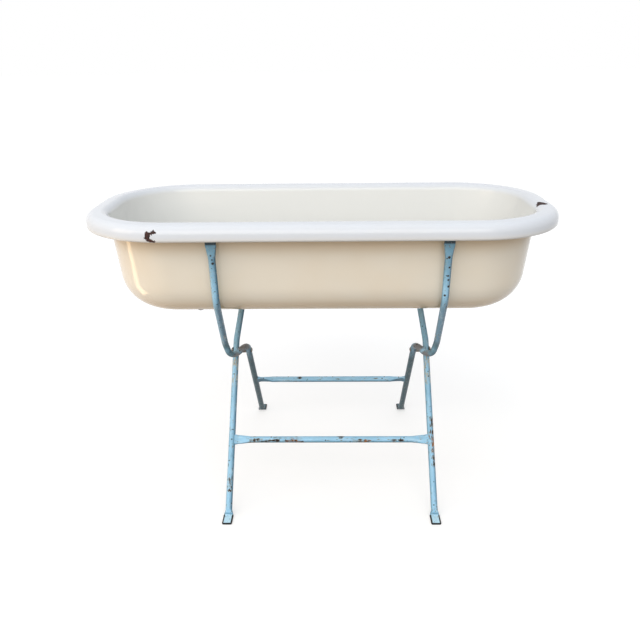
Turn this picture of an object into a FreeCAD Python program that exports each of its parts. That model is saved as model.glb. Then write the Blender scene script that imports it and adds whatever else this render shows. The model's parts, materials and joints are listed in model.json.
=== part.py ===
import math
import os

import FreeCAD
import Part

V = FreeCAD.Vector

# Tub sizes, in mm
tub_length = 922.0
tub_width = 442.0
corner_share = 0.808
rim_height = 600.0
tub_depth = 197.0
sheet = 2.0
rim_width = 42.0
rim_fall = 3.0
rim_drop = 30.5
rim_inner_radius = 15.0
rim_outer_radius = 17.0
rim_curl = 12.0
rim_curl_radius = 5.0
wall_slope = 6.8
floor_corner_radius = 75.0

# Waste outlet sizes
waste_inset = 199.0
tail_diameter = 16.66
tail_bore = 11.0
spigot_diameter = 15.0
spigot_length = 25.0
spigot_lead_in = 1.5
thread_past_nut = 0.5
flange_diameter = 44.0
flange_thickness = 4.0
flange_edge_radius = 1.4
seal_thickness = 2.0
seal_diameter = 34.0
washer_diameter = 30.0
washer_thickness = 1.5
locknut_across_flats = 27.0
locknut_height = 8.0
slip_clearance = 0.3
thread_clearance = 0.05
plug_seat_diameter = 17.0
plug_grip_diameter = 9.0
plug_grip_height = 14.0
plug_grip_neck = 6.0
plug_clearance = 0.3

# Tube of the stand
tube_diameter = 13.5
tube_wall = 1.5
flat_width = 20.4
flat_thickness = 3.0
tip_flat_run = 26.0
foot_flat_run = 12.0
flat_corner_radius = 3.5
leg_bend_radius = 60.0
knee_bend_radius = 40.0
jog_bend_radius = 22.0
crest_bend_radius = 20.0

# Stand layout, measured from the middle plane of the stand
stand_shift = 17.0
tip_inset = 23.0
tip_rest_gap = 0.3
tip_length = 38.0
shoulder_inset = 43.0
shoulder_drop = 155.0
pivot_y = 25.0
pivot_height = 260.0
rear_bend_above_pivot = 30.6
front_bend_above_pivot = 24.0
knee_y = -38.7
knee_above_pivot = 41.6
jog_front_y = -21.8
jog_front_drop = 2.1
front_heel_y = -228.0
rear_heel_y = 232.0
foot_length = 27.0

# Half spacings of the legs, each from the spacing at the pivots
rear_leg_pivot_half = 184.0
crossing_spacing = 28.0
rear_leg_top_out = 30.5
rear_leg_knee_out = 41.1
rear_leg_jog_out = 31.7
rear_leg_foot_in = 2.0
front_leg_top_in = 25.5
front_leg_foot_in = 3.0

# Stretchers, as distances from the pivot along the leg
front_stretcher_from_pivot = 204.0
rear_stretcher_from_pivot = 151.0
paddle_width = 19.0
paddle_thickness = 5.0
paddle_length = 10.0
paddle_run = 24.0
weld_throat = 3.0
weld_run = 6.0

# Pivot rivets
rivet_diameter = 6.0
rivet_head_diameter = 12.0
rivet_head_height = 3.0
rivet_clearance = 0.05
rove_thickness = 1.5
rove_diameter = 13.0
spacer_diameter = 12.0
side_clearance = 0.1
dent_depth = 0.8
cut_margin = 1.0

# Derived sizes
tube_radius = tube_diameter / 2
rim_outer = tub_width / 2
corner_radius = corner_share * rim_outer
corner_x = tub_length / 2 - corner_radius
corner_y = rim_outer - corner_radius
floor_height = rim_height - tub_depth
waste_x = waste_inset - tub_length / 2
tail_radius = tail_diameter / 2
under_flange = floor_height + sheet + seal_thickness
lower_seal_bottom = floor_height - seal_thickness
washer_bottom = lower_seal_bottom - washer_thickness
locknut_bottom = washer_bottom - locknut_height
thread_end = locknut_bottom - thread_past_nut
wall_top = rim_outer - rim_width
rim_tilt = math.atan2(rim_fall, rim_width)
rim_corner_half = (math.pi / 2 + math.radians(wall_slope) - rim_tilt) / 2
rim_setback = rim_inner_radius / math.tan(rim_corner_half)
crest_allowance = rim_setback * math.sin(rim_tilt) - rim_inner_radius * (1 - math.cos(rim_tilt))
rim_corner_height = rim_height + crest_allowance
tip_y = rim_outer - tip_inset
tip_edge_run = tip_y + flat_thickness / 2 - wall_top
rim_underside = rim_corner_height - tip_edge_run * math.tan(rim_tilt) - sheet / math.cos(rim_tilt)
tip_height = rim_underside - tip_rest_gap
shoulder_y = rim_outer - shoulder_inset
shoulder_height = rim_height - shoulder_drop
knee_height = pivot_height + knee_above_pivot
jog_front_height = pivot_height - jog_front_drop
heel_height = flat_thickness / 2
rear_leg_top_half = rear_leg_pivot_half + rear_leg_top_out
rear_leg_knee_half = rear_leg_pivot_half + rear_leg_knee_out
rear_leg_jog_half = rear_leg_pivot_half + rear_leg_jog_out
rear_leg_foot_half = rear_leg_pivot_half - rear_leg_foot_in
front_leg_pivot_half = rear_leg_pivot_half + crossing_spacing
front_leg_top_half = front_leg_pivot_half - front_leg_top_in
front_leg_foot_half = front_leg_pivot_half - front_leg_foot_in


# Curves

def rounded_path(points, radii):
    """Wire through the points, each inner corner rounded by its radius."""
    edges = []
    last = points[0]
    for before, corner, after, radius in zip(points, points[1:], points[2:], radii):
        to_before = (before - corner).normalize()
        to_after = (after - corner).normalize()
        half_angle = to_before.getAngle(to_after) / 2
        setback = radius / math.tan(half_angle)
        start = corner + to_before * setback
        end = corner + to_after * setback
        toward_centre = (to_before + to_after).normalize()
        middle = corner + toward_centre * (radius / math.sin(half_angle) - radius)
        if (start - last).Length > 1e-4:
            edges.append(Part.LineSegment(last, start).toShape())
        edges.append(Part.Arc(start, middle, end).toShape())
        last = end
    edges.append(Part.LineSegment(last, points[-1]).toShape())
    return Part.Wire(edges)


def section(centre, across, thick, half_width, corner_x, corner_y, broad_middle):
    """Closed section of four edges: two broad sides and two rounded narrow sides."""
    def at(u, v):
        return centre + across * u + thick * v

    def broad(side):
        start, end = at(-side * corner_x, -side * corner_y), at(side * corner_x, -side * corner_y)
        if broad_middle == corner_y:
            return Part.LineSegment(start, end).toShape()
        return Part.Arc(start, at(0, -side * broad_middle), end).toShape()

    def narrow(side):
        start, end = at(side * corner_x, -side * corner_y), at(side * corner_x, side * corner_y)
        return Part.Arc(start, at(side * half_width, 0), end).toShape()

    return Part.Wire([broad(1), narrow(1), broad(-1), narrow(-1)])


def round_section(centre, across, thick, radius):
    corner = radius * math.sqrt(0.5)
    return section(centre, across, thick, radius, corner, corner, radius)


def flat_section(centre, across, thick, width, thickness):
    edge_radius = thickness / 2
    return section(centre, across, thick, width / 2, width / 2 - edge_radius, edge_radius, edge_radius)


def cylinder(radius, height, base, axis=V(0, 0, 1)):
    return Part.makeCylinder(radius, height, base, axis)


# Tub

def tub_profile():
    """Section of the pressed sheet in the YZ plane, from a corner's middle to the curled lip."""
    wall_rise = rim_corner_height - floor_height - sheet
    edge = corner_radius
    wall_y = edge - rim_width
    inside = [V(0, 0, floor_height + sheet),
              V(0, wall_y - wall_rise * math.tan(math.radians(wall_slope)), floor_height + sheet),
              V(0, wall_y, rim_corner_height),
              V(0, edge, rim_corner_height - rim_fall),
              V(0, edge, rim_height - rim_drop),
              V(0, edge - rim_curl, rim_height - rim_drop)]
    radii = [floor_corner_radius - sheet, rim_inner_radius, rim_outer_radius, rim_curl_radius]
    top_skin = rounded_path(inside, radii)
    return top_skin.makeOffset2D(sheet, join=0, fill=True, openResult=True)


def tub_shell():
    """Sheet swept round a rectangle with large rounded corners, with the outlet hole."""
    face = tub_profile()
    side = face.copy()
    side.translate(V(-corner_x, corner_y, 0))
    side = side.extrude(V(2 * corner_x, 0, 0))
    corner = face.revolve(V(0, 0, 0), V(0, 0, 1), -90)
    corner.translate(V(corner_x, corner_y, 0))
    end = face.copy()
    end.rotate(V(0, 0, 0), V(0, 0, 1), -90)
    end.translate(V(corner_x, -corner_y, 0))
    end = end.extrude(V(0, 2 * corner_y, 0))
    quarters = [corner, corner.mirror(V(0, 0, 0), V(1, 0, 0))]
    quarters += [piece.mirror(V(0, 0, 0), V(0, 1, 0)) for piece in quarters]
    pieces = quarters + [side.mirror(V(0, 0, 0), V(0, 1, 0)), end, end.mirror(V(0, 0, 0), V(1, 0, 0))]
    pieces.append(Part.makeBox(2 * corner_x, 2 * corner_y, sheet, V(-corner_x, -corner_y, floor_height)))
    shell = side.multiFuse(pieces).removeSplitter()
    hole = cylinder(tail_radius + slip_clearance, tub_depth,
                    V(waste_x, 0, floor_height - tub_depth / 2))
    return shell.cut(hole)


# Waste outlet and plug

def ring(outer_diameter, inner_radius, bottom, height):
    base = V(waste_x, 0, bottom)
    return cylinder(outer_diameter / 2, height, base).cut(cylinder(inner_radius, height, base))


def waste_body():
    """Flanged outlet: threaded through the floor, plain spigot below, cone seat for the plug."""
    spigot_end = thread_end - spigot_length
    flange = cylinder(flange_diameter / 2, flange_thickness, V(waste_x, 0, under_flange))
    thread = cylinder(tail_radius, under_flange - thread_end, V(waste_x, 0, thread_end))
    spigot_top = cylinder(spigot_diameter / 2, spigot_length - spigot_lead_in,
                          V(waste_x, 0, spigot_end + spigot_lead_in))
    lead_in = Part.makeCone(spigot_diameter / 2 - spigot_lead_in, spigot_diameter / 2, spigot_lead_in,
                            V(waste_x, 0, spigot_end))
    body = flange.multiFuse([thread, spigot_top, lead_in]).removeSplitter()
    flange_top = under_flange + flange_thickness
    rim_edges = [e for e in body.Edges if abs(e.BoundBox.ZMin - flange_top) < 1e-6]
    body = body.makeFillet(flange_edge_radius, rim_edges)
    bore = cylinder(tail_bore / 2, flange_top - spigot_end, V(waste_x, 0, spigot_end))
    seat = Part.makeCone(tail_bore / 2, plug_seat_diameter / 2, flange_thickness,
                         V(waste_x, 0, under_flange))
    return body.cut(bore).cut(seat)


def locknut():
    corner_radius = locknut_across_flats / 2 / math.cos(math.radians(30))
    points = [V(waste_x + corner_radius * math.cos(math.radians(60 * k)),
                corner_radius * math.sin(math.radians(60 * k)),
                locknut_bottom) for k in range(7)]
    prism = Part.Face(Part.makePolygon(points)).extrude(V(0, 0, locknut_height))
    bore = cylinder(tail_radius + thread_clearance, locknut_height, V(waste_x, 0, locknut_bottom))
    return prism.cut(bore)


def drain_plug():
    cone = Part.makeCone(tail_bore / 2 - plug_clearance, plug_seat_diameter / 2 - plug_clearance,
                         flange_thickness, V(waste_x, 0, under_flange))
    top = under_flange + flange_thickness
    neck = cylinder(plug_grip_neck / 2, plug_grip_height, V(waste_x, 0, top))
    knob = Part.makeSphere(plug_grip_diameter / 2, V(waste_x, 0, top + plug_grip_height))
    return cone.multiFuse([neck, knob]).removeSplitter()


# Legs

def flattened_end(start, direction, end_centre, tab_vector, thick_round, thick_flat):
    """Round tube pressed flat toward end_centre, then a flat tab along tab_vector."""
    across = V(1, 0, 0)
    side = across - direction * across.dot(direction)
    side.normalize()
    round_wire = round_section(start, side, thick_round, tube_radius)
    flat_wire = flat_section(end_centre, across, thick_flat, flat_width, flat_thickness)
    press = Part.makeLoft([round_wire, flat_wire], True, True)
    tab = Part.Face(flat_wire).extrude(tab_vector)
    return press.fuse(tab)


def trim_tab(end_centre, tab_vector, thick):
    """Block that rounds the two corners at the free end of a tab."""
    along = V(tab_vector).normalize()
    length = tab_vector.Length
    half = flat_width / 2 + cut_margin
    reach = tube_diameter
    block = Part.makeBox(2 * half, reach, reach)
    block.translate(V(-half, 0, -reach / 2))
    keep = Part.makeBox(flat_width, reach, reach)
    keep.translate(V(-flat_width / 2, -reach, -reach / 2))
    edges = [e for e in keep.Edges if e.BoundBox.ZLength > reach - 1e-6
             and abs(e.BoundBox.YMax) < 1e-6]
    keep = keep.makeFillet(flat_corner_radius, edges)
    block.translate(V(0, -flat_corner_radius, 0))
    waste = block.cut(keep)
    turn = FreeCAD.Rotation(V(1, 0, 0), along, thick, "XYZ")
    waste.Placement = FreeCAD.Placement(end_centre + along * length, turn)
    return waste


def leg(points, radii, tip_tab, foot_tab):
    """Tube through the points, flat tab at the rim end and flat foot at the floor end."""
    tip, foot = points[0], points[-1]
    tip_run = (tip - points[1]).normalize()
    foot_run = (foot - points[-2]).normalize()
    tube_start = tip - tip_run * tip_flat_run
    tube_end = foot - foot_run * foot_flat_run
    path = rounded_path([tube_start] + points[1:-1] + [tube_end], radii)

    def pipe(radius):
        circle = Part.Wire(Part.makeCircle(radius, tube_start, tip_run))
        return path.makePipeShell([circle], True, False)

    def thick_for(run):
        normal = V(1, 0, 0).cross(run)
        return normal.normalize()

    tip_thick = V(0, 1, 0)
    foot_thick = V(0, 0, 1)
    tip_round = thick_for(tip_run)
    if tip_round.dot(tip_thick) < 0:
        tip_round = tip_round * -1
    foot_round = thick_for(foot_run)
    if foot_round.dot(foot_thick) < 0:
        foot_round = foot_round * -1
    tip_end = flattened_end(tube_start, tip_run, tip, tip_tab, tip_round, tip_thick)
    foot_end = flattened_end(tube_end, foot_run, foot, foot_tab, foot_round, foot_thick)
    solid = pipe(tube_radius).multiFuse([tip_end, foot_end])
    solid = solid.cut(trim_tab(foot, foot_tab, foot_thick))
    return solid, pipe(tube_radius - tube_wall)


def rear_foot_leg():
    """Right leg from the front rim to the rear foot, jogged in front of the other leg."""
    down = V(0, rear_heel_y - pivot_y, heel_height - pivot_height).normalize()
    bend = V(rear_leg_pivot_half, pivot_y, pivot_height) - down * rear_bend_above_pivot
    points = [V(rear_leg_top_half, -tip_y, tip_height - tip_length),
              V(rear_leg_top_half, -shoulder_y, shoulder_height),
              V(rear_leg_knee_half, knee_y, knee_height),
              V(rear_leg_jog_half, jog_front_y, jog_front_height),
              bend,
              V(rear_leg_foot_half, rear_heel_y, heel_height)]
    radii = [leg_bend_radius, knee_bend_radius, jog_bend_radius, crest_bend_radius]
    return leg(points, radii, V(0, 0, tip_length), V(0, foot_length, 0))


def front_foot_leg():
    """Right leg from the back rim to the front foot."""
    down = V(0, front_heel_y - pivot_y, heel_height - pivot_height).normalize()
    bend = V(front_leg_pivot_half, pivot_y, pivot_height) - down * front_bend_above_pivot
    points = [V(front_leg_top_half, tip_y, tip_height - tip_length),
              V(front_leg_top_half, shoulder_y, shoulder_height),
              bend,
              V(front_leg_foot_half, front_heel_y, heel_height)]
    radii = [leg_bend_radius, leg_bend_radius]
    return leg(points, radii, V(0, 0, tip_length), V(0, -foot_length, 0))


def with_pivot_seats(solid, bore, inner_face, outer_face):
    """Hollow leg with flats and a rivet hole at the pivot."""
    axis = V(1, 0, 0)
    seat_radius = rove_diameter / 2 + cut_margin
    for face in (inner_face - tube_diameter, outer_face):
        seat = cylinder(seat_radius, tube_diameter, V(face, pivot_y, pivot_height), axis)
        solid = solid.cut(seat)
    solid = solid.cut(bore)
    hole_start = V(inner_face - tube_diameter, pivot_y, pivot_height)
    hole_length = outer_face - inner_face + 2 * tube_diameter
    return solid.cut(cylinder(rivet_diameter / 2 + rivet_clearance, hole_length, hole_start, axis))


# Stretchers

def stretcher(at, plane_dir, outer_leg_left, outer_leg_right, half_span):
    """Cross tube with ends pressed to paddles that lie in the plane of the frame."""
    normal = V(1, 0, 0).cross(plane_dir)
    paddle_start = half_span - tube_radius - paddle_length
    round_end = paddle_start - paddle_run
    centre = V(0, at.y, at.z)
    solid = cylinder(tube_radius, 2 * round_end, centre - V(round_end, 0, 0), V(1, 0, 0))
    bore = cylinder(tube_radius - tube_wall, 2 * round_end, centre - V(round_end, 0, 0), V(1, 0, 0))
    pieces = []
    for sign in (-1, 1):
        shoulder = centre + V(sign * round_end, 0, 0)
        start = centre + V(sign * paddle_start, 0, 0)
        round_wire = round_section(shoulder, plane_dir, normal, tube_radius)
        flat_wire = flat_section(start, plane_dir, normal, paddle_width, paddle_thickness)
        pieces.append(Part.makeLoft([round_wire, flat_wire], True, True))
        pieces.append(Part.Face(flat_wire).extrude(V(sign * (half_span - paddle_start), 0, 0)))
    solid = solid.multiFuse(pieces).cut(bore)
    return solid.cut(outer_leg_left).cut(outer_leg_right)


def weld(at, plane_dir, half_span, sign, cross_tube, leg_outer):
    """Fillet round a paddle where it meets the leg."""
    normal = V(1, 0, 0).cross(plane_dir)
    root = V(sign * half_span, at.y, at.z)
    toe = V(sign * (half_span - tube_radius - weld_run), at.y, at.z)
    grow = 2 * weld_throat
    wide = flat_section(root, plane_dir, normal, paddle_width + grow, paddle_thickness + grow)
    lean = 2 * slip_clearance
    thin = flat_section(toe, plane_dir, normal, paddle_width + lean, paddle_thickness + lean)
    body = Part.makeLoft([thin, wide], True, True)
    body = body.cut(leg_outer).cut(cross_tube)
    return max(body.Solids, key=lambda s: s.CenterOfMass.x * -sign)


# Pivot pieces

def pivot_pieces(rear_faces, front_faces):
    """Rivet, spacer and rove of the right crossing, along X."""
    axis = V(1, 0, 0)

    def at(x):
        return V(x, pivot_y, pivot_height)

    head_face = rear_faces[0] - side_clearance
    rove_face = front_faces[1] + side_clearance
    rove_end = rove_face + rove_thickness
    shank = cylinder(rivet_diameter / 2, rove_end - head_face, at(head_face), axis)
    head = domed_head(head_face, -1)
    peen = domed_head(rove_end, 1)
    rivet = shank.multiFuse([head, peen]).removeSplitter()
    hole_radius = rivet_diameter / 2 + rivet_clearance
    rove = cylinder(rove_diameter / 2, rove_thickness, at(rove_face), axis)
    rove = rove.cut(cylinder(hole_radius, rove_thickness, at(rove_face), axis))
    spacer_start = rear_faces[1] + side_clearance
    spacer_length = front_faces[0] - side_clearance - spacer_start
    spacer = cylinder(spacer_diameter / 2, spacer_length, at(spacer_start), axis)
    spacer = spacer.cut(cylinder(hole_radius, spacer_length, at(spacer_start), axis))
    return rivet, spacer, rove


def domed_head(face_x, sign):
    """Low dome of a rivet head standing on the plane at face_x."""
    half = rivet_head_diameter / 2
    sphere_radius = (half * half + rivet_head_height * rivet_head_height) / (2 * rivet_head_height)
    centre_x = face_x + sign * (rivet_head_height - sphere_radius)
    ball = Part.makeSphere(sphere_radius, V(centre_x, pivot_y, pivot_height))
    keep = cylinder(half + cut_margin, rivet_head_height + cut_margin,
                    V(face_x, pivot_y, pivot_height), V(sign, 0, 0))
    return ball.common(keep)


# Assembly

def both_sides(shape):
    """The right-hand shape moved to the stand, and its mirror on the left."""
    right = shape.copy()
    right.translate(V(stand_shift, 0, 0))
    left = shape.mirror(V(0, 0, 0), V(1, 0, 0))
    left.translate(V(stand_shift, 0, 0))
    return left, right


def along_leg(heel_y, distance):
    """Point on the lower leg at a distance below the pivot, with the leg direction."""
    down = V(0, heel_y - pivot_y, heel_height - pivot_height).normalize()
    return V(0, pivot_y, pivot_height) + down * distance, down


def half_at(pivot_half, foot_half, heel_y, distance):
    run = math.hypot(heel_y - pivot_y, heel_height - pivot_height)
    return pivot_half + (foot_half - pivot_half) * distance / run


def build():
    nodes = {"tub_shell": tub_shell(), "waste_body": waste_body(), "drain_plug": drain_plug()}
    ring_hole = tail_radius + thread_clearance
    nodes["waste_upper_seal"] = ring(seal_diameter, ring_hole, floor_height + sheet, seal_thickness)
    nodes["waste_lower_seal"] = ring(seal_diameter, ring_hole, lower_seal_bottom, seal_thickness)
    nodes["waste_washer"] = ring(washer_diameter, ring_hole, washer_bottom, washer_thickness)
    nodes["waste_locknut"] = locknut()

    rear_outer, rear_bore = rear_foot_leg()
    front_outer, front_bore = front_foot_leg()
    half_flat = tube_radius - dent_depth
    rear_faces = (rear_leg_pivot_half - half_flat, rear_leg_pivot_half + half_flat)
    front_faces = (front_leg_pivot_half - half_flat, front_leg_pivot_half + half_flat)
    rear_leg = with_pivot_seats(rear_outer, rear_bore, *rear_faces)
    front_leg = with_pivot_seats(front_outer, front_bore, *front_faces)
    pieces = {"rear_foot_leg": rear_leg, "front_foot_leg": front_leg}
    rivet, spacer, rove = pivot_pieces(rear_faces, front_faces)
    pieces.update({"pivot_rivet": rivet, "pivot_spacer": spacer, "pivot_rove": rove})

    frames = (("front", front_outer, front_heel_y, front_stretcher_from_pivot,
               front_leg_pivot_half, front_leg_foot_half),
              ("rear", rear_outer, rear_heel_y, rear_stretcher_from_pivot,
               rear_leg_pivot_half, rear_leg_foot_half))
    for name, outer, heel_y, distance, pivot_half, foot_half in frames:
        at, down = along_leg(heel_y, distance)
        half_span = half_at(pivot_half, foot_half, heel_y, distance)
        outer_left = outer.mirror(V(0, 0, 0), V(1, 0, 0))
        cross_tube = stretcher(at, down, outer_left, outer, half_span)
        pieces[name + "_weld"] = weld(at, down, half_span, 1, cross_tube, outer)
        cross_tube.translate(V(stand_shift, 0, 0))
        nodes[name + "_stretcher"] = cross_tube
    for name, shape in pieces.items():
        nodes[name + "_left"], nodes[name + "_right"] = both_sides(shape)
    return nodes


os.makedirs("parts", exist_ok=True)
for node, shape in build().items():
    shape.exportStep("parts/%s.step" % node)
    print(node, len(shape.Solids), "solid", shape.isValid(), round(shape.Volume / 1000, 2), "cm3")
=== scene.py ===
# %% [markdown]
# # An enamelled baby bath on its folding stand
#
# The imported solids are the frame. They stay where they are, and this script gives each
# of them a finish. Only the tub is replaced, by a smoother skin, so that the enamel can
# be white inside and cream outside. Sizes of the object are in millimetres, and MM turns
# them into the metres that Blender works in.

# %% Load the frame
import json
import math

import bmesh
import bpy
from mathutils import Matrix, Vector


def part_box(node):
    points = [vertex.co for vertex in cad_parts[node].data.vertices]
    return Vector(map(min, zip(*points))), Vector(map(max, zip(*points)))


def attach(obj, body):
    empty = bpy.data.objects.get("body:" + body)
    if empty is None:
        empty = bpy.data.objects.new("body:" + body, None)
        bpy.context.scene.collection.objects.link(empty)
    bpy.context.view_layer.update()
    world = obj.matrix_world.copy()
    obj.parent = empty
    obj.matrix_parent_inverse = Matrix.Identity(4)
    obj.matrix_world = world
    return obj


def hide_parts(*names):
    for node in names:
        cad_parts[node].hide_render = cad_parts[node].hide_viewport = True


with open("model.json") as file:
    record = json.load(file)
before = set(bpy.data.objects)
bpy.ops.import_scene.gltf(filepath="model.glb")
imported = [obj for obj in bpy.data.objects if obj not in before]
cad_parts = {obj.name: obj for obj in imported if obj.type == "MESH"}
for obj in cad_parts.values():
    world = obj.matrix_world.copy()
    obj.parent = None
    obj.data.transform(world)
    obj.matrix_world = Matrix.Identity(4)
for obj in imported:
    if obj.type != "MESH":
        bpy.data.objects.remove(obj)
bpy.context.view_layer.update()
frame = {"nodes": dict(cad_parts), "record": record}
nodes = frame["nodes"]

# %% [markdown]
# ## Colours and nodes
#
# Colours are written as the sRGB hex codes that a paint chart would give. Blender mixes
# light in linear values, so each code passes through one function. A second function
# adds a shader node, sets or links its inputs and hands back one of its outputs, so that
# a finish can be read from top to bottom like a recipe.

# %% Colour and node helpers
def hex_colour(code):
    """Linear RGBA of an sRGB hex code such as 8CC0E8."""
    channels = [int(code[i:i + 2], 16) / 255 for i in (0, 2, 4)]
    linear = [c / 12.92 if c <= 0.04045 else ((c + 0.055) / 1.055) ** 2.4 for c in channels]
    return (*linear, 1.0)


def add(material, kind, inputs, output=0, **settings):
    """Adds a shader node; an input given a socket is linked, any other value is set."""
    tree = material.node_tree
    node = tree.nodes.new("ShaderNode" + kind)
    for name, value in settings.items():
        setattr(node, name, value)
    for key, value in inputs.items():
        if isinstance(value, bpy.types.NodeSocket):
            tree.links.new(value, node.inputs[key])
        else:
            node.inputs[key].default_value = value
    return node.outputs[output]


print("mid grey in linear light:", round(hex_colour("808080")[0], 3))

# %% [markdown]
# ## Coats, patches and places
#
# Old finishes are coats laid over each other. One function lays a coat where a mask says,
# and three others make masks: cloudy patches of a real size, a soft band along one axis,
# and round spots on the object. A mask goes smoothly from 0 to 1, as worn edges do. The
# mix node keeps one pair of sockets for each kind of value: 6 and 7 are its two colours,
# and output 2 is the mixed colour.

# %% Coats and masks
MM = 0.001
SMOOTH = {"interpolation_type": "SMOOTHSTEP"}


def coat(material, under, over, mask, strength=1.0):
    """Colour of a coat laid over another where mask is 1; a low strength is a thin coat."""
    under, over = [hex_colour(c) if isinstance(c, str) else c for c in (under, over)]
    cover = add(material, "Math", {0: mask, 1: strength}, operation="MULTIPLY")
    return add(material, "Mix", {0: cover, 6: under, 7: over}, 2, data_type="RGBA")


def patches(material, place, size_mm, low, high, detail=3.0, roughness=0.55):
    """Cloudy patches about size_mm across: 0 where the noise is at low, 1 at high."""
    cloud = add(material, "TexNoise", {"Vector": place, "Scale": 1 / (size_mm * MM),
                                       "Detail": detail, "Roughness": roughness})
    return add(material, "MapRange", {"Value": cloud, "From Min": low, "From Max": high}, **SMOOTH)


def band(material, place, axis, from_mm, to_mm):
    """0 on the near side of from_mm along an axis, 1 on the far side of to_mm, soft between."""
    along = add(material, "SeparateXYZ", {0: place}, axis)
    return add(material, "MapRange", {"Value": along, "From Min": from_mm * MM,
                                      "From Max": to_mm * MM}, **SMOOTH)


def near(material, place, spots):
    """1 at the given spots, falling to 0 at the reach of each; both are in mm."""
    nearest = 0.0
    for point, reach_mm in spots:
        gap = add(material, "VectorMath", {0: place, 1: tuple(v * MM for v in point)}, "Value",
                  operation="DISTANCE")
        share = add(material, "MapRange", {"Value": gap, "From Min": reach_mm * MM,
                                           "From Max": 0.0}, **SMOOTH)
        nearest = add(material, "Math", {0: nearest, 1: share}, operation="MAXIMUM")
    return nearest


print("one millimetre is", MM, "m, and masks follow a", SMOOTH["interpolation_type"].lower())

# %% [markdown]
# Every finish ends the same way: a colour, a roughness and a fine relief go into one
# shader. The relief is a bump, because it is far too shallow to be cut into the mesh.

# %% Material and surface
def new_material(name):
    """An empty material with Blender's general surface shader."""
    material = bpy.data.materials.new(name)
    material.use_nodes = True
    return material


def surface(material, colour, roughness, height, depth_mm, strength):
    """Links colour, roughness and relief to the material's shader and hands that back."""
    shader = material.node_tree.nodes["Principled BSDF"]
    bump = add(material, "Bump", {"Height": height, "Distance": depth_mm * MM,
                                  "Strength": strength})
    for name, socket in (("Base Color", colour), ("Roughness", roughness), ("Normal", bump)):
        material.node_tree.links.new(socket, shader.inputs[name])
    return shader


print("materials so far:", len(bpy.data.materials))

# %% [markdown]
# ## Chips in the enamel
#
# A knock breaks enamel off down to the sheet, which then rusts dark. The rim has two
# such chips, one on its front curve at the left and one on its crest at the right. A
# painted picture would do for one view only, so each chip is a handful of spots at their
# real places on the rim. Noise shifts the place about by a few millimetres, which makes
# the outline jagged like broken glass.

# %% Chips
CHIPS = [((-293.0, -218.9, 588.0), 6.5), ((-298.5, -219.2, 586.5), 8.0),
         ((-304.5, -219.0, 585.5), 8.5), ((-303.5, -219.6, 581.5), 9.0),
         ((-306.5, -219.1, 579.0), 7.5), ((-302.5, -219.6, 577.0), 9.0),
         ((-298.5, -220.1, 574.0), 8.0), ((-293.5, -220.5, 572.5), 6.0),
         ((424.0, -54.0, 598.0), 10.0), ((428.5, -47.0, 599.8), 13.0),
         ((431.0, -39.0, 600.0), 14.0), ((431.0, -52.0, 600.0), 16.0),
         ((435.0, -48.0, 599.8), 15.0), ((438.5, -46.0, 599.6), 8.0)]
SPLINTER = 7.0
SPLINTER_SHIFT = 14.0


def chipped(material, place):
    """1 inside the chips and 0 on sound enamel, with a sharp and jagged edge between."""
    splinters = add(material, "TexNoise", {"Vector": place, "Scale": 1 / (SPLINTER * MM),
                                           "Detail": 5.0, "Roughness": 0.75}, "Color")
    either_way = add(material, "VectorMath", {0: splinters, 1: (0.5,) * 3}, operation="SUBTRACT")
    shifted = add(material, "VectorMath", {0: either_way, 1: (SPLINTER_SHIFT * MM,) * 3, 2: place},
                  operation="MULTIPLY_ADD")
    return add(material, "MapRange", {"Value": near(material, shifted, CHIPS), "From Min": 0.42,
                                      "From Max": 0.52}, **SMOOTH)


print("chip spots:", len(CHIPS))

# %% [markdown]
# ## Vitreous enamel
#
# Enamel is glass powder melted on to steel. The eye gets a hard gloss over a body colour,
# faint clouds where the glass lies thicker, and a slight waviness where it ran. A plain
# glossy colour would look like plastic, so the clouds and the wave are kept, very weak.
# Rust grit is finer than 3 mm, but is drawn that coarse so that it shows at all. Fired
# glass is smooth, with a roughness of about 0.1, and rust is rough, with about 0.7.

# %% Enamel
CLOUDS, WAVES, RUST_GRIT = 120.0, 45.0, 3.0
GLASS_ROUGHNESS, RUST_ROUGHNESS = 0.1, 0.7


def enamel(name, pale, deep, thick_glass_and_shade):
    """Fired enamel: pale, and deep where the mask says, which is thicker glass on the white and
    painted shade on the cream, chipped down to rust.
    """
    material = new_material(name)
    place = add(material, "TexCoord", {}, "Object")
    body = coat(material, pale, deep, thick_glass_and_shade(material, place))
    clouds = patches(material, place, CLOUDS, 0.35, 0.75, detail=2.0)
    body = coat(material, body, deep, clouds, 0.12)
    grit = patches(material, place, RUST_GRIT, 0.35, 0.7, detail=6.0, roughness=0.7)
    rust = coat(material, "180806", "421A12", grit)
    chip = chipped(material, place)
    colour = coat(material, body, rust, chip)
    roughness = add(material, "Math", {0: chip, 1: RUST_ROUGHNESS - GLASS_ROUGHNESS,
                                       2: GLASS_ROUGHNESS}, operation="MULTIPLY_ADD")
    wave = add(material, "TexNoise", {"Vector": place, "Scale": 1 / (WAVES * MM), "Detail": 1.0,
                                      "Roughness": 0.55})
    wave = add(material, "Math", {0: wave, 1: 0.5}, operation="MULTIPLY")
    height = add(material, "Math", {0: wave, 1: chip}, operation="SUBTRACT")
    shader = surface(material, colour, roughness, height, depth_mm=0.5, strength=0.4)
    shader.inputs["Specular IOR Level"].default_value = 0.4
    return material


print("enamel: clouds of", CLOUDS, "mm and waves of", WAVES, "mm")

# %% [markdown]
# The tub has three such enamels: a cool white on the rim, the same white a little warmer inside,
# and cream outside. Where the white lies thicker follows how it was dipped and drained: below
# the crest inside and under the curl of the rim. On the cream, the darker tan in the bottom
# corner is painted shade, and a weaker one in the hollow under the rim is the rim's painted shadow.

# %% White, rim and cream enamel
def below_crest(material, place):
    """The inside, from just under the crest of the rim."""
    return band(material, place, "Z", 597.0, 585.0)


def under_curl(material, place):
    """The lower part of the rim, where it curls under."""
    return band(material, place, "Z", 582.0, 568.0)


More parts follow.
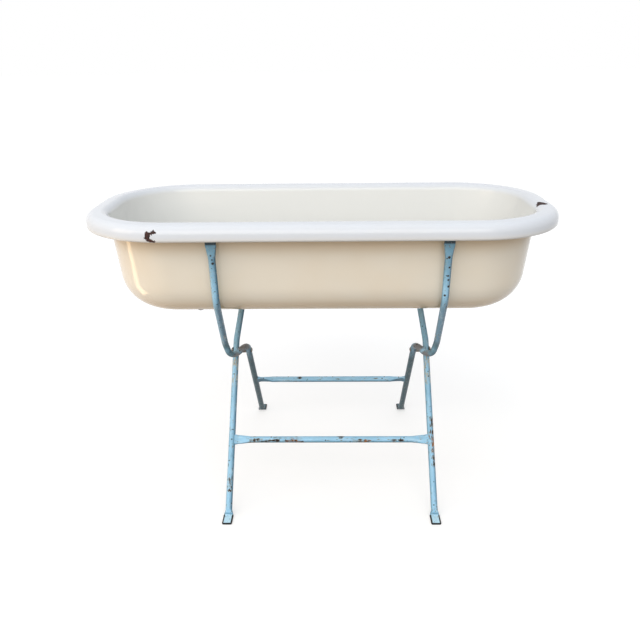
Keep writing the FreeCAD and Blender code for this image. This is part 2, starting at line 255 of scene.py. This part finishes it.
def painted_corner_and_rim_shade(material, place):
    """Painted shade: the bottom corner, and less strongly the hollow under the rim as the rim's
    shadow.
    """
    corner = band(material, place, "Z", 450.0, 401.0)
    hollow = band(material, place, "Z", 525.0, 575.0)
    hollow = add(material, "Math", {0: hollow, 1: 0.7}, operation="MULTIPLY")
    return add(material, "Math", {0: corner, 1: hollow}, operation="MAXIMUM")


white_enamel = enamel("white fired enamel", "D6DAE1", "DEDFDD", below_crest)
rim_enamel = enamel("white fired enamel, rim", "D8DDE5", "DAD8D4", under_curl)
# The cream's darker tan in the bottom corner and under the rim is painted shade.
cream_enamel = enamel("cream fired enamel with painted shade", "E9E1D2", "DDBD8A", painted_corner_and_rim_shade)
print("enamels:", white_enamel.name, "/", rim_enamel.name, "/", cream_enamel.name)

# %% [markdown]
# ## The tub
#
# The tub is one sheet pressed to shape: a flat floor, a generous corner, a wall that
# leans out, and a rim rolled over and curled under. Its plan is a rectangle with large
# round corners, so one section carried round that plan makes the whole sheet. The solid
# itself could be painted instead, but a swept skin is smooth at any distance, and its
# two sides can take different enamels. Length, width and floor come from the frame.

# %% Section of the sheet, in mm from the middle of a rounded corner
SHEET = 2.0
tub_low, tub_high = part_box("tub_shell")
HALF_LENGTH = round((tub_high.x - tub_low.x) / 2 / MM, 2)
HALF_WIDTH = round((tub_high.y - tub_low.y) / 2 / MM, 2)
TUB_FLOOR = round(tub_low.z / MM, 2) + SHEET
CORNER = 0.808 * HALF_WIDTH
CREST, RIM_FALL, RIM_WIDTH = 600.98, 3.0, 42.0
LIP, LIP_CURL = 569.5, 12.0
WALL_LEAN = math.radians(6.8)
WALL_TOP = CORNER - RIM_WIDTH
WALL_FOOT = WALL_TOP - (CREST - TUB_FLOOR) * math.tan(WALL_LEAN)
SECTION = [(0.0, TUB_FLOOR), (WALL_FOOT, TUB_FLOOR), (WALL_TOP, CREST),
           (CORNER, CREST - RIM_FALL), (CORNER, LIP), (CORNER - LIP_CURL, LIP)]
BENDS = [73.0, 15.0, 17.0, 5.0]
print("tub:", 2 * HALF_LENGTH, "x", 2 * HALF_WIDTH, "mm, floor at", TUB_FLOOR, "mm")

# %% [markdown]
# Each corner of the section is bent to an arc, and the same points moved through the
# thickness of the sheet give its other side.

# %% Bend the section
ARC_STEPS = 14


def rounded_section(points, radii):
    """Points along the section, with an arc at each corner."""
    path = []
    corners = [Vector(p) for p in points]
    for before, corner, after, radius in zip(corners, corners[1:], corners[2:], radii):
        come, go = (before - corner).normalized(), (after - corner).normalized()
        half = come.angle(go) / 2
        centre = corner + (come + go).normalized() * radius / math.sin(half)
        first = corner + come * radius / math.tan(half) - centre
        last = corner + go * radius / math.tan(half) - centre
        turn = first.angle_signed(last)
        for step in range(ARC_STEPS + 1):
            angle = -turn * step / ARC_STEPS
            spoke = Vector((first.x * math.cos(angle) - first.y * math.sin(angle),
                            first.x * math.sin(angle) + first.y * math.cos(angle)))
            path.append(centre + spoke)
    return [corners[0]] + path + [corners[-1]]


def through_sheet(path):
    """The same section moved through the sheet to its other side."""
    moved = []
    for index, point in enumerate(path):
        ahead = path[min(index + 1, len(path) - 1)] - path[max(index - 1, 0)]
        normal = Vector((ahead.y, -ahead.x)).normalized()
        moved.append(point + normal * SHEET)
    return moved


top_skin = rounded_section(SECTION, BENDS)
under_skin = through_sheet(top_skin)
print("section points:", len(top_skin), "crest", round(max(p.y for p in top_skin), 2), "mm")

# %% [markdown]
# The section is carried round the plan, a quarter turn at each corner and a straight
# run between. A curve with a bevel could do that too, but it turns the section about
# the curve, and here each station has to face straight out from its corner.

# %% Stations round the plan
TURN_STEPS = 28


def plan_stations():
    """Middle point and outward direction of each station round the plan."""
    stations = []
    middle_x, middle_y = HALF_LENGTH - CORNER, HALF_WIDTH - CORNER
    for quarter, (side_x, side_y) in enumerate([(1, 1), (-1, 1), (-1, -1), (1, -1)]):
        for step in range(TURN_STEPS + 1):
            angle = math.pi / 2 * (quarter + step / TURN_STEPS)
            stations.append((Vector((side_x * middle_x, side_y * middle_y)),
                             Vector((math.cos(angle), math.sin(angle)))))
    return stations


print("stations:", len(plan_stations()))

# %% [markdown]
# Neighbouring stations are joined by rows of faces. The section starts at the middle of
# each corner, so a flat panel is left open in the floor, and one face closes it on each
# side of the sheet. The faces take the inside enamel up to the crest, the rim's from
# there to the lip, and cream on the other side.

# %% Sweep the tub
LIP_POINTS = 3
WELD_GAP = 0.001 * MM
INSIDE, OUTSIDE, RIM = range(3)
crest_point = max(range(len(top_skin)), key=lambda point: top_skin[point].y)
lip_point = len(top_skin) - LIP_POINTS


def enamel_of(index):
    """Enamel of the face that follows a point of the section."""
    if index >= lip_point:
        return OUTSIDE
    return RIM if index >= crest_point else INSIDE


def sweep_tub():
    """Mesh of the sheet: both sides, joined at the lip, and closed in the floor."""
    mesh = bmesh.new()
    section = top_skin + under_skin[::-1]
    rows = []
    for middle, outward in plan_stations():
        spots = [(middle + outward * p.x, p.y) for p in section]
        rows.append([mesh.verts.new((s.x * MM, s.y * MM, z * MM)) for s, z in spots])
    for row, following in zip(rows, rows[1:] + rows[:1]):
        for index in range(len(section) - 1):
            face = mesh.faces.new((row[index], following[index],
                                   following[index + 1], row[index + 1]))
            face.material_index = enamel_of(index)
            face.smooth = True
    corners = range(0, len(rows), TURN_STEPS + 1)
    mesh.faces.new([rows[c][0] for c in corners]).material_index = INSIDE
    mesh.faces.new([rows[c][-1] for c in corners]).material_index = OUTSIDE
    bmesh.ops.remove_doubles(mesh, verts=mesh.verts, dist=WELD_GAP)
    bmesh.ops.dissolve_degenerate(mesh, edges=mesh.edges, dist=WELD_GAP)
    bmesh.ops.recalc_face_normals(mesh, faces=mesh.faces)
    data = bpy.data.meshes.new("tub_skin")
    mesh.to_mesh(data)
    mesh.free()
    return data


tub_skin = bpy.data.objects.new("tub_skin", sweep_tub())
bpy.context.scene.collection.objects.link(tub_skin)
for finish in (white_enamel, cream_enamel, rim_enamel):
    tub_skin.data.materials.append(finish)
print("tub skin faces:", len(tub_skin.data.polygons))

# %% [markdown]
# The floor has a round hole for the waste outlet. Working it into the sweep would spoil
# the even rows, so a cutter the size of the hole is taken out of the finished skin, and
# the result is kept as the tub's mesh. The skin then rides with the tub in place of the
# solid.

# %% Cut the outlet hole
HOLE_RADIUS, CUTTER_HEIGHT = 8.63, 20.0
outlet_low, outlet_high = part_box("waste_body")
hole_middle = ((outlet_low + outlet_high) / 2).xy
cutter_mesh = bpy.data.meshes.new("hole_cutter")
cutter = bmesh.new()
bmesh.ops.create_cone(cutter, cap_ends=True, segments=48, radius1=HOLE_RADIUS * MM,
                      radius2=HOLE_RADIUS * MM, depth=CUTTER_HEIGHT * MM)
bmesh.ops.translate(cutter, verts=cutter.verts, vec=(*hole_middle, (TUB_FLOOR - SHEET / 2) * MM))
cutter.to_mesh(cutter_mesh)
cutter.free()
cutter_object = bpy.data.objects.new("hole_cutter", cutter_mesh)
bpy.context.scene.collection.objects.link(cutter_object)
drill = tub_skin.modifiers.new("drill", "BOOLEAN")
drill.object = cutter_object
drill.solver = "EXACT"
drilled = bpy.data.meshes.new_from_object(
    tub_skin.evaluated_get(bpy.context.evaluated_depsgraph_get()))
tub_skin.modifiers.clear()
tub_skin.data = drilled
bpy.data.objects.remove(cutter_object)
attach(tub_skin, "tub")
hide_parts("tub_shell")
print("drilled faces:", len(tub_skin.data.polygons))

# %% [markdown]
# ## Old blue paint on steel tube
#
# The stand was brushed with light blue oil paint and has stood outdoors for years. The faces
# that look to the front, to the back and up are painted lighter, and the sides and undersides
# of the tubes darker: painted shading, as the light falls across each tube. One flat blue
# would lose that, so the colour follows the direction in which each face of the tube looks,
# whoever looks at it. Soft clouds of fading and streaks along the tube lie over it. A brush
# leaves streaks under 1 mm wide, but they are drawn 5 mm wide so that they show.

# %% Brushed paint with painted shading
FADING = 60.0


def painted_lit_faces(material, normal, light_from):
    """Painted light: 1 on faces that look along light_from, against it or up, 0 on the sides."""
    along = add(material, "VectorMath", {0: normal, 1: light_from}, "Value", operation="DOT_PRODUCT")
    either_way = add(material, "Math", {0: along}, operation="ABSOLUTE")
    upward = add(material, "SeparateXYZ", {0: normal}, "Z")
    most = add(material, "Math", {0: either_way, 1: upward}, operation="MAXIMUM")
    return add(material, "MapRange", {"Value": most, "From Min": 0.3, "From Max": 0.85}, **SMOOTH)


def brushed_paint(material, place, normal, streaks, light_from):
    """Sound paint with painted shading: dark on the sides, light elsewhere, clouded and streaky."""
    # Painted shading: dark blue on the sides and undersides of each tube, pale blue on faces toward
    # the light.
    paint = coat(material, "3F708C", "9DCEEC", painted_lit_faces(material, normal, light_from))
    paint = coat(material, paint, "6FA3BF", patches(material, place, FADING, 0.35, 0.68), 0.35)
    for colour, low, high in (("C2E2F4", 0.5, 0.75), ("54798E", 0.42, 0.25)):
        share = add(material, "MapRange", {"Value": streaks, "From Min": low, "From Max": high},
                    **SMOOTH)
        paint = coat(material, paint, colour, share, 0.6)
    return paint


print("paint fades in clouds of", FADING, "mm")

# %% [markdown]
# Some places have a tone of their own. Below the rim the upper legs are painted darker, as
# the rim's painted shadow, and the tops tucked under it black, as painted contact shadow.
# The low bends beside the crossings are darker. The flat feet are the palest, with a line
# of painted shadow in the fold above each. The undersides of the rear legs, and their feet,
# are painted dark, as painted shade under the tub.

# %% Painted shade, darker bends and pale feet
FOOT_TOP = 3.0
REAR_LEG_TOP = (0.0, 0.73, 0.68)
# Spots in the low bends beside the crossings, where the paint is darker.
DARKER_BENDS = [((-204.0, -34.0, 274.0), 34.0), ((-207.0, -44.0, 296.0), 30.0),
          ((238.0, -34.0, 274.0), 34.0), ((241.0, -44.0, 296.0), 30.0)]


def on_foot(material, place):
    """1 on the flat top of a foot and below, 0 from just above it."""
    return band(material, place, "Z", FOOT_TOP + 1.5, FOOT_TOP + 0.5)


def fold_above_foot(material, place):
    """1 in the fold where the flat foot turns up into the tube."""
    above = band(material, place, "Z", FOOT_TOP + 1.0, FOOT_TOP + 2.0)
    below = band(material, place, "Z", FOOT_TOP + 6.0, FOOT_TOP + 4.0)
    return add(material, "Math", {0: above, 1: below}, operation="MULTIPLY")


def painted_rear_leg_shade(material, place, normal):
    """Painted shade: 1 on the undersides of the rear legs and on their feet, under the tub."""
    upward = add(material, "VectorMath", {0: normal, 1: REAR_LEG_TOP}, "Value",
                 operation="DOT_PRODUCT")
    underside = add(material, "MapRange", {"Value": upward, "From Min": 0.5, "From Max": 0.1},
                    **SMOOTH)
    in_shade = add(material, "Math", {0: underside, 1: on_foot(material, place)}, operation="MAXIMUM")
    behind = band(material, place, "Y", 0.0, 50.0)
    return add(material, "Math", {0: behind, 1: in_shade}, operation="MULTIPLY")


def toned_and_shaded_paint(material, paint, place, normal, painted_shade):
    """The paint with its painted shade, its darker bends and its pale feet."""
    # Painted shade: the upper legs darker below the rim, as the rim's shadow.
    paint = coat(material, paint, "3F687C", band(material, place, "Z", 450.0, 560.0), 0.6)
    # Painted shadow: a black band at the leg tops tucked under the rim.
    paint = coat(material, paint, "0B1414", band(material, place, "Z", 558.5, 561.5), 0.9)
    paint = coat(material, paint, "47646C", near(material, place, DARKER_BENDS), 0.8)
    paint = coat(material, paint, "CBEDFC", on_foot(material, place), 0.7)
    # Painted shadow: a dark line in the fold above each foot.
    paint = coat(material, paint, "3F708C", fold_above_foot(material, place), 0.55)
    # Painted shade: the undersides and feet of the rear legs dark, as in the shade under the tub.
    return coat(material, paint, "1A444E", painted_rear_leg_shade(material, place, normal), painted_shade)


print("feet are", FOOT_TOP, "mm thick")

# %% [markdown]
# ## Wear of the paint
#
# The stand has been folded and knocked about. Paint flaked off in rows along the tubes,
# mostly on the front cross tube and the right front leg, and in a few places the rust
# is fresh and orange. Below the crossings it is scraped to the undercoat, and the bends
# are rubbed to grey metal. Wear from noise alone would be spread evenly, so
# each worn place is given, with its reach.

# %% Worn places, in mm, with the reach of each
def row_of(first, last, count, reach_mm):
    """Worn spots in a row from first to last, for a scratch along the tube."""
    ends = Vector(first), Vector(last)
    return [(tuple(ends[0].lerp(ends[1], n / (count - 1))), reach_mm) for n in range(count)]


SCRAPED = [((-194.0, 2.0, 236.0), 34.0), ((-193.0, -22.0, 211.0), 30.0),
           ((228.0, 2.0, 236.0), 34.0), ((228.0, -22.0, 211.0), 30.0),
           ((-207.0, -64.0, 330.0), 26.0), ((241.0, -64.0, 330.0), 26.0)]
FLAKED = row_of((-153.0, -124.4, 114.8), (-97.0, -124.4, 114.2), 8, 10.0)
FLAKED += row_of((-75.0, -124.4, 113.4), (-47.0, -124.3, 112.8), 4, 12.0)
FLAKED += row_of((80.0, -124.3, 112.8), (98.0, -124.3, 112.8), 3, 10.0)
FLAKED += row_of((150.0, -124.4, 113.4), (164.0, -124.4, 113.4), 2, 10.0)
FLAKED += row_of((231.5, -92.0, 148.0), (232.0, -158.0, 79.0), 8, 13.0)
FLAKED += row_of((-193.0, -182.0, 58.0), (-192.3, -198.0, 42.0), 4, 8.0)
FLAKED += [((38.0, -121.0, 119.0), 12.0), ((-59.0, 116.0, 148.0), 8.0)]
ORANGE = [((-64.0, -122.6, 108.0), 26.0), ((92.0, -124.0, 111.0), 20.0),
          ((232.0, -128.0, 108.0), 34.0)]
RUBBED = [((-174.0, 0.0, 276.0), 30.0), ((208.0, 0.0, 276.0), 30.0),
          ((-190.0, -20.0, 262.0), 26.0), ((224.0, -20.0, 262.0), 26.0)]
print("worn spots:", len(SCRAPED) + len(FLAKED) + len(ORANGE) + len(RUBBED))

# %% [markdown]
# A flake is a few millimetres wide and stretched along the tube, as brushed paint peels.
# Around it a thin greyish edge of undercoat is left. So one noise gives both: at a
# lower level the undercoat shows, and a little higher the bare rust. Near a
# worn place the noise is raised, so that flakes gather there.

# %% Rubbed and flaked paint
RUB, FLAKE = 14.0, 2.4


def raised_near(material, place, spots, rise, noise):
    """The noise, raised near the given spots."""
    return add(material, "Math", {0: near(material, place, spots), 1: rise, 2: noise},
               operation="MULTIPLY_ADD")


def rubbed(material, place, grain):
    """1 where the bends are rubbed to grey metal, in patches along the tube."""
    noise = add(material, "TexNoise", {"Vector": grain, "Scale": 1 / (RUB * MM), "Detail": 4.0,
                                       "Roughness": 0.55})
    level = raised_near(material, place, RUBBED, 0.9, noise)
    return add(material, "MapRange", {"Value": level, "From Min": 0.72, "From Max": 1.2}, **SMOOTH)


def flaked(material, place, grain):
    """Shares of undercoat and of bare rust where the paint has flaked off."""
    noise = add(material, "TexNoise", {"Vector": grain, "Scale": 1 / (FLAKE * MM), "Detail": 5.0,
                                       "Roughness": 0.62})
    scraped = raised_near(material, place, SCRAPED, 0.14, noise)
    knocked = raised_near(material, place, FLAKED, 0.19, noise)
    either = add(material, "Math", {0: scraped, 1: knocked}, operation="MAXIMUM")
    undercoat = add(material, "MapRange", {"Value": either, "From Min": 0.61, "From Max": 0.63},
                    **SMOOTH)
    bare = add(material, "MapRange", {"Value": knocked, "From Min": 0.64, "From Max": 0.655},
               **SMOOTH)
    return undercoat, bare


print("rubbed patches:", RUB, "mm, flakes:", FLAKE, "mm wide")

# %% [markdown]
# Two small things finish the paint. Dark specks of rust break through it in loose groups,
# each in one cell of a cell pattern, and as larger pits down the upper legs, at places
# that are given. The thin edges of the flat feet are black, with rust and with painted
# shadow along their sides and toes.

# %% Specks and foot edges
SPECK_SPACING, SPECK_GROUPS = 10.0, 16.0
PITTED = [((231.6, -200.0, 534.7), 5.0), ((233.5, -196.8, 515.0), 4.0),
          ((232.3, -194.1, 498.1), 4.0), ((233.4, -192.4, 489.9), 4.0),
          ((234.9, -189.4, 476.5), 5.0), ((229.3, -186.5, 458.1), 4.5),
          ((-198.2, -199.9, 540.6), 3.2), ((-196.2, -200.0, 532.7), 3.0),
          ((-195.6, -198.6, 525.4), 5.0)]
STAND_X, FOOT_WIDTH = 17.0, 20.4
FRONT_FOOT_HALF, REAR_FOOT_HALF = 209.0, 182.0
TOE_DARK_FROM, TOE_DARK_TO = -252.5, -253.8


def specked(material, place):
    """1 on small dark specks: in loose groups, and at the pits of the upper legs."""
    gap = add(material, "TexVoronoi", {"Vector": place, "Scale": 1 / (SPECK_SPACING * MM),
                                       "Randomness": 1.0}, "Distance")
    dots = add(material, "MapRange", {"Value": gap, "From Min": 0.17, "From Max": 0.12}, **SMOOTH)
    groups = patches(material, place, SPECK_GROUPS, 0.44, 0.52, detail=2.0)
    specks = add(material, "Math", {0: dots, 1: groups}, operation="MULTIPLY")
    pits = add(material, "MapRange", {"Value": near(material, place, PITTED), "From Min": 0.4,
                                      "From Max": 0.6}, **SMOOTH)
    return add(material, "Math", {0: specks, 1: pits}, operation="MAXIMUM")


def foot_edge_rust_and_shadow(material, place, foot_half):
    """Rust and painted shadow: 1 along the edges of the two flat feet, which lie foot_half either
    side of the stand.
    """
    across = add(material, "SeparateXYZ", {0: place}, "X")
    for middle in (STAND_X, foot_half):
        across = add(material, "Math", {0: across, 1: middle * MM}, operation="SUBTRACT")
        across = add(material, "Math", {0: across}, operation="ABSOLUTE")
    side = add(material, "MapRange", {"Value": across, "From Min": (FOOT_WIDTH / 2 - 3.6) * MM,
                                      "From Max": (FOOT_WIDTH / 2 - 2.8) * MM}, **SMOOTH)
    toe = band(material, place, "Y", TOE_DARK_FROM, TOE_DARK_TO)
    edge = add(material, "Math", {0: side, 1: toe}, operation="MAXIMUM")
    return add(material, "Math", {0: on_foot(material, place), 1: edge}, operation="MULTIPLY")


print("feet:", FRONT_FOOT_HALF, "and", REAR_FOOT_HALF, "mm from the middle of the stand")

# %% [markdown]
# The paint is then laid in this order: sound paint with its painted shading, the places with
# painted shade and those with a tone of their own, rubbing, undercoat, rust, specks, and the
# black foot edges of rust and painted shadow. Oil paint keeps a soft gloss and bare rust none,
# and the flakes and specks lie a little deeper than the paint.

# %% Blue paint
STREAKS, ORANGE_GRIT = 5.0, 4.0
PAINT_ROUGHNESS, BARE_ROUGHNESS = 0.36, 0.76


def blue_paint(name, turn_degrees, stretch, light_from, painted_shade, foot_half):
    """Old brushed oil paint; turn_degrees lays the tube's length along the pattern's Y axis."""
    material = new_material(name)
    place = add(material, "TexCoord", {}, "Object")
    normal = add(material, "TexCoord", {}, "Normal")
    turn = (math.radians(turn_degrees), 0, 0)
    lying = add(material, "Mapping", {"Vector": place, "Rotation": turn})
    grain = add(material, "Mapping", {"Vector": lying, "Scale": stretch})
    streaks = add(material, "TexNoise", {"Vector": grain, "Scale": 1 / (STREAKS * MM), "Detail": 5.0,
                                         "Roughness": 0.65})
    paint = brushed_paint(material, place, normal, streaks, light_from)
    paint = toned_and_shaded_paint(material, paint, place, normal, painted_shade)
    paint = coat(material, paint, "77787C", rubbed(material, place, grain))
    undercoat, bare = flaked(material, place, grain)
    grit = patches(material, place, ORANGE_GRIT, 0.4, 0.6, detail=5.0, roughness=0.7)
    rust = coat(material, "261B16", "B87434", grit, near(material, place, ORANGE))
    specks = specked(material, place)
    paint = coat(material, paint, "B4B6AE", undercoat)
    paint = coat(material, paint, rust, bare)
    paint = coat(material, paint, "241E1C", specks)
    # Black foot edges: rust, with painted shadow along the sides and toes.
    paint = coat(material, paint, "0C0908", foot_edge_rust_and_shadow(material, place, foot_half))
    roughness = add(material, "Math", {0: bare, 1: BARE_ROUGHNESS - PAINT_ROUGHNESS,
                                       2: PAINT_ROUGHNESS}, operation="MULTIPLY_ADD")
    ridges = add(material, "Math", {0: streaks, 1: 0.3}, operation="MULTIPLY")
    pits = add(material, "Math", {0: undercoat, 1: specks}, operation="MAXIMUM")
    height = add(material, "Math", {0: ridges, 1: pits}, operation="SUBTRACT")
    shader = surface(material, paint, roughness, height, depth_mm=0.4, strength=0.6)
    shader.inputs["Specular IOR Level"].default_value = 0.35
    return material


print("paint streaks:", STREAKS, "mm wide")

# %% [markdown]
# The paint was brushed along each tube, so three of these are needed: across for the
# cross tubes, and down for the two pairs of legs, which slope in opposite directions.
# Patterns are stretched to about six or eight times their width along the tube.

# %% Three paints
ALONG_X, ALONG_Y = (0.12, 1, 1), (1, 0.18, 1)
# Directions of the painted light: from the front and above for the cross tubes, from the front for
# the legs.
FROM_ABOVE, FROM_FRONT = (0.0, -0.75, 0.66), (-0.25, -0.95, 0.2)
FRONT_LEG_TURN, REAR_LEG_TURN = -45, 50
cross_paint = blue_paint("blue oil paint brushed across, chipped to rust", 0, ALONG_X,
                         FROM_ABOVE, 0.0, FRONT_FOOT_HALF)
front_paint = blue_paint("blue oil paint brushed down, chipped to rust", FRONT_LEG_TURN, ALONG_Y,
                         FROM_FRONT, 0.0, FRONT_FOOT_HALF)
rear_paint = blue_paint("blue oil paint brushed down, grimy, chipped to rust", REAR_LEG_TURN,
                        ALONG_Y, FROM_FRONT, 0.92, REAR_FOOT_HALF)
print("paints:", cross_paint.name, "/", front_paint.name, "/", rear_paint.name)

# %% [markdown]
# ## Small fittings
#
# The outlet is cast brass gone dark and dull with water, the rivets and roves are bare
# steel rubbed grey with brown rust between, and the seals and plug are moulded black
# rubber with a dusty bloom. They are small and mostly hidden, so each is one body colour
# with a second tone over it in patches, and a slight grain in the surface.

# %% Brass, steel and rubber
def mottled(name, first, second, patch_mm, metallic, dull, bright):
    """A body colour with a duller second tone over it in patches."""
    material = new_material(name)
    place = add(material, "TexCoord", {}, "Object")
    tone = patches(material, place, patch_mm, 0.35, 0.68, detail=5.0)
    roughness = add(material, "Math", {0: tone, 1: dull - bright, 2: bright},
                    operation="MULTIPLY_ADD")
    grain = add(material, "TexNoise", {"Vector": place, "Scale": 6 / (patch_mm * MM),
                                       "Detail": 3.0, "Roughness": 0.55})
    shader = surface(material, coat(material, first, second, tone), roughness, grain,
                     depth_mm=0.15, strength=0.4)
    shader.inputs["Metallic"].default_value = metallic
    return material


# Cast brass under years of water: nearly black, with hardly any shine.
brass = mottled("cast brass, tarnished dark", "33261A", "14100C", 7.0, 0.35, 0.8, 0.6)
# Bare steel rubbed by the folding: a grey shine, broken by brown rust.
steel = mottled("bare steel, rubbed and rusting", "8A8780", "5A4638", 5.0, 1.0, 0.7, 0.4)
# Moulded rubber: black and dull, with a grey bloom.
rubber = mottled("black rubber with bloom", "171717", "2C2B29", 4.0, 0.0, 0.85, 0.6)
print("fittings:", brass.name, "/", steel.name, "/", rubber.name)

# %% [markdown]
# ## Finish the solids
#
# The record of the part names a finish for each solid. The legs were brushed down and
# the cross tubes across, and the rear legs carry painted shade, so the blue paint is chosen
# by the solid's name.

# %% Give each solid its finish
FINISHES = {"blue_paint": cross_paint, "brass": brass, "steel": steel, "rubber": rubber,
            "enamel": cream_enamel}
slots = {part["node"]: part["material_slot"] for part in frame["record"]["subparts"]}
for name, node in nodes.items():
    finish = FINISHES[slots[name]]
    if "_leg_" in name:
        finish = rear_paint if name.startswith("rear") else front_paint
    node.data.materials.clear()
    node.data.materials.append(finish)
    for polygon in node.data.polygons:
        polygon.material_index = 0
print("finished solids:", len(nodes))

# %% [markdown]
# ## Floor
#
# The floor is a wide white sheet with the faint unevenness of paper. The eye, and any
# gloss that mirrors it, finds it white up to the horizon, because it glows a little for
# them. The glow is weaker near the object, so that the soft shadow under the stand stays.
# Light that the floor scatters on to the object comes from a greyer sheet, so the
# tubes and the underside of the tub keep their shade. Places in the studio are in metres.

# %% Paper
PAPER_TONES = 400.0
GLOW_NEAR, GLOW_MORE = 0.52, 0.1
SHADOW_REACH, SHADOW_END = 0.45, 1.2


def seen(material):
    """1 for rays from the camera, mirrors and glass, 0 for scattered light."""
    total = 0.0
    for ray in ("Is Camera Ray", "Is Glossy Ray", "Is Transmission Ray"):
        total = add(material, "Math", {0: total, 1: add(material, "LightPath", {}, ray)},
                    operation="ADD", use_clamp=True)
    return total


paper = new_material("white paper sweep")
paper_place = add(paper, "TexCoord", {}, "Object")
paper_tone = add(paper, "TexNoise", {"Vector": paper_place, "Scale": 1 / (PAPER_TONES * MM),
                                     "Detail": 2.0, "Roughness": 0.55})
paper_colour = coat(paper, "9A9590", coat(paper, "C4C4C4", "BFBFBF", paper_tone), seen(paper))
away = add(paper, "VectorMath", {0: paper_place}, "Value", operation="LENGTH")
clear = add(paper, "MapRange", {"Value": away, "From Min": SHADOW_REACH, "From Max": SHADOW_END},
            **SMOOTH)
glow = add(paper, "Math", {0: clear, 1: GLOW_MORE, 2: GLOW_NEAR}, operation="MULTIPLY_ADD")
glow = add(paper, "Math", {0: seen(paper), 1: glow}, operation="MULTIPLY")
paper_shader = paper.node_tree.nodes["Principled BSDF"]
paper.node_tree.links.new(paper_colour, paper_shader.inputs["Base Color"])
paper.node_tree.links.new(glow, paper_shader.inputs["Emission Strength"])
paper_shader.inputs["Emission Color"].default_value = hex_colour("FFFFFF")
paper_shader.inputs["Roughness"].default_value = 0.9
paper_shader.inputs["Specular IOR Level"].default_value = 0.0
print("floor finish:", paper.name)

# %% [markdown]
# One square face is all the floor needs. It is so wide that its edge lies far behind the
# object in every view, and it lies half a millimetre under the feet, so that the two
# never flicker through each other.

# %% Floor
FLOOR_REACH, FLOOR_DROP = 30.0, 0.5 * MM
floor_mesh = bpy.data.meshes.new("floor")
floor_corners = [(x * FLOOR_REACH, y * FLOOR_REACH, 0)
                 for x, y in ((-1, -1), (1, -1), (1, 1), (-1, 1))]
floor_mesh.from_pydata(floor_corners, [], [(0, 1, 2, 3)])
floor_mesh.materials.append(paper)
floor = bpy.data.objects.new("floor", floor_mesh)
floor.location.z = -FLOOR_DROP
bpy.context.scene.collection.objects.link(floor)
print("floor:", 2 * FLOOR_REACH, "m wide")

# %% [markdown]
# ## Sky
#
# An open sky would light the tub from all sides alike and flatten it. In a yard the walls
# take part of the sky away, so the sky here is dimmer near the ground, and dimmest at
# the right. The eye and the gloss find it white, like the floor.

# %% Sky
world = bpy.data.worlds.new("soft sky")
world.use_nodes = True
bpy.context.scene.world = world
toward = add(world, "TexCoord", {}, "Generated")
to_right = add(world, "SeparateXYZ", {0: toward}, "X")
upward = add(world, "SeparateXYZ", {0: toward}, "Z")
right_share = add(world, "MapRange", {"Value": to_right, "From Min": 0.0, "From Max": 0.9}, **SMOOTH)
sky_share = add(world, "MapRange", {"Value": upward, "From Min": 0.0, "From Max": 0.7}, **SMOOTH)
walls = coat(world, "A9A7A3", "8A8885", right_share)
sky = coat(world, walls, "E8EBEF", sky_share)
background = world.node_tree.nodes["Background"]
world.node_tree.links.new(coat(world, sky, "FFFFFF", seen(world)), background.inputs["Color"])
background.inputs["Strength"].default_value = 1.0
print("sky:", world.name)

# %% [markdown]
# ## Lamps
#
# Most of the light comes from one large panel in front and above, so wide that its edge
# never shows as a hard line on the enamel. A small warm panel at the left brightens that
# end of the tub, and a low strip at the left gives the long bright streak on the cream wall.

# %% Lamps
def lamp(name, place, aim, size, colour, power):
    """A rectangular soft lamp at a place, turned towards its aim."""
    data = bpy.data.lights.new(name, "AREA")
    data.shape = "RECTANGLE"
    data.size, data.size_y = size
    data.energy = power
    data.color = hex_colour(colour)[:3]
    item = bpy.data.objects.new(name, data)
    item.location = place
    item.rotation_euler = (Vector(aim) - Vector(place)).to_track_quat("-Z", "Y").to_euler()
    bpy.context.scene.collection.objects.link(item)
    print(name, "at", place, "m,", power, "W")


lamp("left reflector", (-1.25, -0.12, 0.04), (-1.25, -0.12, 1.0), (1.0, 0.18), "FFDDB0", 3)
lamp("left panel", (-2.4, -1.2, 1.5), (0, 0, 0.5), (1.4, 1.4), "FFEAD2", 16)
lamp("front panel", (-0.6, -4.2, 2.9), (0, 0, 0.45), (6.0, 3.6), "FFFCF6", 148)

# %% [markdown]
# ## Camera
#
# The camera stands a little above the rim and looks down into the tub, with the slight
# turn and tilt of a hand-held picture. Its focal length is kept in pixels of the square
# picture, as it was fitted, and turned into the lens length of a 36 mm wide sensor.

# %% Camera
PICTURE_PIXELS, FOCAL_PIXELS, SENSOR_MM = 640, 712.4, 36.0
LOOK_DOWN, TURN, TILT = [math.radians(angle) for angle in (20.74, 1.12, 0.66)]
camera_data = bpy.data.cameras.new("camera")
camera_data.sensor_width = SENSOR_MM
camera_data.lens = FOCAL_PIXELS / PICTURE_PIXELS * SENSOR_MM
camera = bpy.data.objects.new("camera", camera_data)
camera.location = (0.0222, -1.4394, 0.8852)
camera.rotation_euler = (math.pi / 2 - LOOK_DOWN, 0, TURN)
camera.rotation_euler.rotate_axis("Z", -TILT)
bpy.context.scene.collection.objects.link(camera)
bpy.context.scene.camera = camera
bpy.context.scene.view_settings.view_transform = "Standard"
print("lens:", round(camera_data.lens, 2), "mm")
